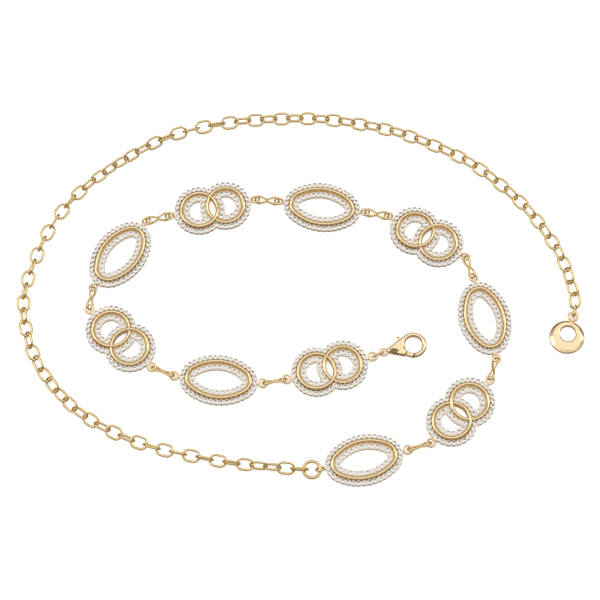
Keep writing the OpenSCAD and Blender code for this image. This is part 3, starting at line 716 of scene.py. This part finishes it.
def oval_row(d):
    """Middles of the stones round the oval, at distance d from its ridge."""
    end_r, side_r = OVAL_R + d, OVAL_B + OVAL_SIDE_Y + d
    end_arc, side_arc = end_r * OVAL_TURN, side_r * (math.pi / 2 - OVAL_TURN)
    count = 2 * round(4 * (end_arc + side_arc) / (2 * PITCH))
    row = []
    for k in range(count):
        t = 4 * k / count
        quarter, u = int(t), t % 1
        s = (u if quarter % 2 == 0 else 1 - u) * (end_arc + side_arc)
        if s < end_arc:
            p = (OVAL_A - OVAL_R + end_r * math.cos(s / end_r), end_r * math.sin(s / end_r))
        else:
            a = OVAL_TURN + (s - end_arc) / side_r
            p = (side_r * math.cos(a), side_r * math.sin(a) - OVAL_SIDE_Y)
        row.append((-p[0] if quarter in (1, 2) else p[0], -p[1] if quarter > 1 else p[1]))
    return row


def arc_row(x, r, a, b):
    """Middles of the stones along an arc, with one at each end."""
    count = round(r * (b - a) / PITCH)
    return [(x + r * math.cos(a + (b - a) * k / count), r * math.sin(a + (b - a) * k / count))
            for k in range(count + 1)]


def double_rows():
    """Middles of all the stones of a double plaque."""
    halo, bay = RING_R + OUTER_ROW, RING_R - INNER_ROW
    notch = math.acos(RING_X / halo)
    corner_x = (halo * halo - bay * bay) / (4 * RING_X)
    bay_corner = math.acos((RING_X - corner_x) / bay)
    halo_corner = math.acos((RING_X + corner_x) / halo)
    half = arc_row(RING_X, halo, notch - math.pi, math.pi - notch)[1:-1]
    half += arc_row(RING_X, bay, bay_corner - math.pi, math.pi - bay_corner)
    half += arc_row(-RING_X, halo, -halo_corner, halo_corner)[1:-1]
    top = halo * math.sin(notch)
    return half + [(-x, y) for x, y in half] + [(0, top), (0, -top)]


def cut_stone():
    """Points, faces and which faces are foiled, for one stone with its girdle at z = 0."""
    points, faces, foiled = [], [], []

    def ring(count, radius, height, turn):
        start = len(points)
        for k in range(count):
            a = 2 * math.pi * (k + turn) / count
            points.append(Vector((radius * math.cos(a), radius * math.sin(a), height)))
        return start

    table = ring(8, TABLE_R * STONE_R, STONE_CROWN, 0)
    star = ring(8, STAR_R * STONE_R, STAR_RISE * STONE_CROWN, 0.5)
    girdle = ring(16, STONE_R, 0, 0)
    under = ring(16, STONE_R, -STONE_GIRDLE, 0)
    culet = ring(8, CULET_R * STONE_R, -STONE_DEPTH, 0)
    faces.append([table + k for k in range(8)])
    for k in range(8):
        after = (k + 1) % 8
        faces.append([table + k, star + k, table + after])
        faces.append([table + k, star + (k - 1) % 8, girdle + 2 * k, star + k])
        faces.append([star + k, girdle + 2 * k, girdle + 2 * k + 1])
        faces.append([star + k, girdle + 2 * k + 1, girdle + (2 * k + 2) % 16])
    for k in range(16):
        after = (k + 1) % 16
        faces.append([girdle + k, under + k, under + after, girdle + after])
    foiled += [False] * len(faces)
    for k in range(8):
        low, high, mid = culet + k, under + 2 * k, under + 2 * k + 1
        after = under + (2 * k + 2) % 16
        faces += [[high, low, mid], [mid, low, culet + (k + 1) % 8, after]]
    faces.append([culet + k for k in reversed(range(8))])
    foiled += [True] * (len(faces) - len(foiled))
    return points, faces, foiled


def stone_glass():
    """Clear lead glass, with a faint smoky streak here and there."""
    material, tree, shader = new_material("stone_glass")
    shader.inputs["Transmission Weight"].default_value = 1
    shader.inputs["IOR"].default_value = 1.56
    place = node(tree, "ShaderNodeTexCoord", (-900, 0)).outputs["Object"]
    streak = noise(tree, (-700, 0), place, 450, 2, 0.5)
    tint = node(tree, "ShaderNodeValToRGB", (-450, 0))
    for stop, at, colour in zip(tint.color_ramp.elements, (0.4, 0.65),
                                ((0.96, 0.97, 0.97, 1), (1, 1, 1, 1))):
        stop.position, stop.color = at, colour
    feed(tree, tint.inputs["Fac"], streak)
    feed(tree, shader.inputs["Base Color"], tint.outputs["Color"])
    feed(tree, shader.inputs["Roughness"], ranged(tree, (-450, -300), streak, 0, 1, 0, 0.03))
    return material


crown_glass = stone_glass()
silver_foil = plated("silver_foil", (0.96, 0.95, 0.95), (0.86, 0.85, 0.86),
                     waves=1.5, smooth=0.05, dull=0.15, bump=0.01)
stone_points, stone_faces, stone_foiled = cut_stone()


def set_stones(name, spots, place, seed):
    """One mesh of stones, each turned and tipped a little in its cup."""
    chance = random.Random(seed)
    middle, turn = place
    on_plaque = Matrix.Translation((*middle, CUP_TOP)) @ Matrix.Rotation(turn, 4, "Z")
    points, faces = [], []
    for x, y in spots:
        start = len(points)
        tip = Matrix.Rotation(math.radians(chance.uniform(0, MOST_TIP)), 4, "X")
        spin = Matrix.Rotation(chance.uniform(0, 2 * math.pi), 4, "Z")
        own = Matrix.Rotation(chance.uniform(0, 2 * math.pi), 4, "Z")
        seat = on_plaque @ Matrix.Translation((x, y, 0)) @ spin @ tip @ own
        points += [seat @ p for p in stone_points]
        faces += [[start + i for i in face] for face in stone_faces]
    made = piece(name, points, faces, "strand", (crown_glass, silver_foil))
    kinds = [int(foiled) for foiled in stone_foiled] * len(spots)
    made.data.polygons.foreach_set("material_index", kinds)
    made.data.update()
    return made


double_spots, outer_spots, inner_spots = double_rows(), oval_row(OUTER_ROW), oval_row(-INNER_ROW)
for k in range(5):
    set_stones(f"double_stones_{k + 1}", double_spots, double_places[k], 11 + k)
    set_stones(f"outer_stones_{k + 1}", outer_spots, oval_places[k], 21 + k)
    inner = set_stones(f"inner_stones_{k + 1}", inner_spots, oval_places[k], 31 + k)
    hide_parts(f"oval_stones_{k + 1}")

# Bow links, jump ring and chain
# Round brass wire, bent and closed by machine and then plated a deeper gold. The bow links are
# pinched in the middle, and the long chain is made of plain oval links.
wire_gold = plated("wire_gold", (0.95, 0.74, 0.36), (0.77, 0.53, 0.18),
                   waves=0.9, smooth=0.12, dull=0.25, bump=0.03)
for k in range(1, 10):
    finish_node(f"bow_link_{k}", wire_gold)
for name in ("clasp_link", "jump_ring", "lower_chain", "upper_chain", "pendant_link"):
    finish_node(name, wire_gold)

# Disc pendant
# A cast disc with a domed face and a hole off its middle, hung from a ring that is cast on. It
# is plated and polished like the clasp. Sizes are in its own frame, with the ring at the origin.
PENDANT_AT, PENDANT_TURN = (136.04, -11.36), math.radians(-108)
CAST_RING_R, CAST_RING_WIRE, CAST_RING_HEIGHT = 2.15, 0.65, 2.05
DISC_R, DISC_X = 8.7, 11.1
HOLE_R, HOLE_X = 3.95, 9.3
# Both edges of the disc in section: distance in from the edge, and height. The first goes up
# from under the hole's edge to the face, and the second from the face down to under the rim.
HOLE_EDGE = [
    (0.45, 0.0), (0.15, 0.1), (0.0, 0.35), (0.0, 1.5), (0.08, 1.85), (0.3, 2.1), (0.7, 2.26),
    (1.4, 2.36),
]
RIM = [
    (2.7, 2.4), (2.05, 2.38), (1.85, 2.32), (0.3, 1.55), (0.12, 1.4), (0.0, 1.15), (0.0, 0.8),
    (0.1, 0.45), (0.4, 0.15), (1.0, 0.0),
]
# Where the disc is narrower than this between hole and rim, both edges shrink with it
FULL_WIDTH = 5


def disc_shell(turns=128):
    """The disc as a closed band of sections, from its hole to its rim and back underneath."""
    points, faces = [], []
    for k in range(turns):
        out = heading(2 * math.pi * k / turns)
        inner, outer = Vector((HOLE_X, 0)) + HOLE_R * out, Vector((DISC_X, 0)) + DISC_R * out
        across = (outer - inner).normalized() * min(1, (outer - inner).length / FULL_WIDTH)
        points += [(*(inner + across * off), z) for off, z in HOLE_EDGE]
        points += [(*(outer - across * off), z) for off, z in RIM]
    sides = len(HOLE_EDGE) + len(RIM)
    for k in range(turns):
        low, after = k * sides, (k + 1) % turns * sides
        for s in range(sides):
            t = (s + 1) % sides
            faces.append((low + s, after + s, after + t, low + t))
    return points, faces


pendant_place = Matrix.Translation((*PENDANT_AT, 0)) @ Matrix.Rotation(PENDANT_TURN, 4, "Z")
disc_form = cast([disc_shell(), ring_shell(CAST_RING_R, CAST_RING_WIRE, CAST_RING_HEIGHT)])
disc_pendant = casting("pendant_casting", disc_form, pendant_place, "strand", cast_gold)
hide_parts("disc_pendant")

# Table and light
# A white table, bright enough to lose the shadows, which the metal sees as a duller and warmer
# grey than the light above it. The room is dimmer low down and in front, with a softbox on
# each side. Sizes are in metres.
TABLE_HALF, TABLE_DROP = 3, 0.00002


def bare_tree(owner):
    """The owner's node tree with nothing in it."""
    owner.use_nodes = True
    owner.node_tree.nodes.clear()
    return owner.node_tree


def glowing(tree, kind, at, colour, strength):
    """An Emission or Background shader."""
    made = node(tree, kind, at)
    made.inputs["Color"].default_value = (*colour, 1)
    made.inputs["Strength"].default_value = strength
    return made.outputs[0]


def seen_apart(tree, for_metal, for_camera, output):
    """Shows the camera one shader and everything else another."""
    ray = node(tree, "ShaderNodeLightPath", (300, 300))
    pick = node(tree, "ShaderNodeMixShader", (600, 0))
    feed(tree, pick.inputs[0], ray.outputs["Is Camera Ray"])
    feed(tree, pick.inputs[1], for_metal)
    feed(tree, pick.inputs[2], for_camera)
    feed(tree, node(tree, output, (800, 0)).inputs[0], pick.outputs[0])


def white_table():
    material = bpy.data.materials.new("white_table")
    tree = bare_tree(material)
    paper = node(tree, "ShaderNodeBsdfDiffuse", (0, -50))
    paper.inputs["Color"].default_value = (0.9, 0.9, 0.9, 1)
    lit = node(tree, "ShaderNodeAddShader", (300, 100))
    feed(tree, lit.inputs[0], glowing(tree, "ShaderNodeEmission", (0, 100), (1, 1, 1), 0.55))
    feed(tree, lit.inputs[1], paper.outputs[0])
    grey = glowing(tree, "ShaderNodeEmission", (300, -200), (1, 0.91, 0.75), 0.34)
    seen_apart(tree, grey, lit.outputs[0], "ShaderNodeOutputMaterial")
    return material


def studio():
    """A room that is dark below, bright above and dimmer in front."""
    world = bpy.data.worlds.new("room")
    tree = bare_tree(world)
    place = node(tree, "ShaderNodeTexCoord", (-500, 0)).outputs["Generated"]
    split = node(tree, "ShaderNodeSeparateXYZ", (-300, 0))
    feed(tree, split.inputs[0], place)
    rise = node(tree, "ShaderNodeValToRGB", (-100, 0))
    feed(tree, rise.inputs["Fac"], split.outputs["Z"])
    stops = rise.color_ramp.elements
    stops[0].color = (0.16, 0.13, 0.10, 1)
    stops[1].color = (0.92, 0.90, 0.88, 1)
    for at, colour in ((0.42, (0.30, 0.24, 0.17)), (0.62, (0.66, 0.63, 0.59)),
                       (0.78, (0.90, 0.88, 0.85))):
        stops.new(at).color = (*colour, 1)
    front = ranged(tree, (-100, -250), split.outputs["Y"], -0.62, -0.4, 0.55, 1, "SMOOTHSTEP")
    light = node(tree, "ShaderNodeBackground", (300, 0))
    light.inputs["Strength"].default_value = 1.1
    feed(tree, light.inputs["Color"],
         vector_maths(tree, (150, 0), "SCALE", rise.outputs["Color"], front))
    backdrop = glowing(tree, "ShaderNodeBackground", (300, -200), (1, 1, 1), 1)
    seen_apart(tree, light.outputs[0], backdrop, "ShaderNodeOutputWorld")
    return world


def softbox(name, at, size, power):
    lamp = bpy.data.lights.new(name, "AREA")
    lamp.shape = "RECTANGLE"
    lamp.size, lamp.size_y = size
    lamp.energy = power
    made = bpy.data.objects.new(name, lamp)
    made.location = at
    made.rotation_euler = (VIEW_TARGET - Vector(at)).to_track_quat("-Z", "Y").to_euler()
    bpy.context.collection.objects.link(made)


table_mesh = bpy.data.meshes.new("table")
table_mesh.from_pydata(
    [(x * TABLE_HALF, y * TABLE_HALF, 0) for x, y in ((-1, -1), (1, -1), (1, 1), (-1, 1))],
    [], [(0, 1, 2, 3)])
table_mesh.materials.append(white_table())
table = bpy.data.objects.new("table", table_mesh)
table.location.z = -TABLE_DROP
bpy.context.collection.objects.link(table)
bpy.context.scene.world = studio()
softbox("softbox_left", (-1.05, 0.15, 0.85), (0.7, 1.0), 2.6)
softbox("softbox_right", (1.0, 0.35, 0.85), (0.5, 0.9), 1.9)
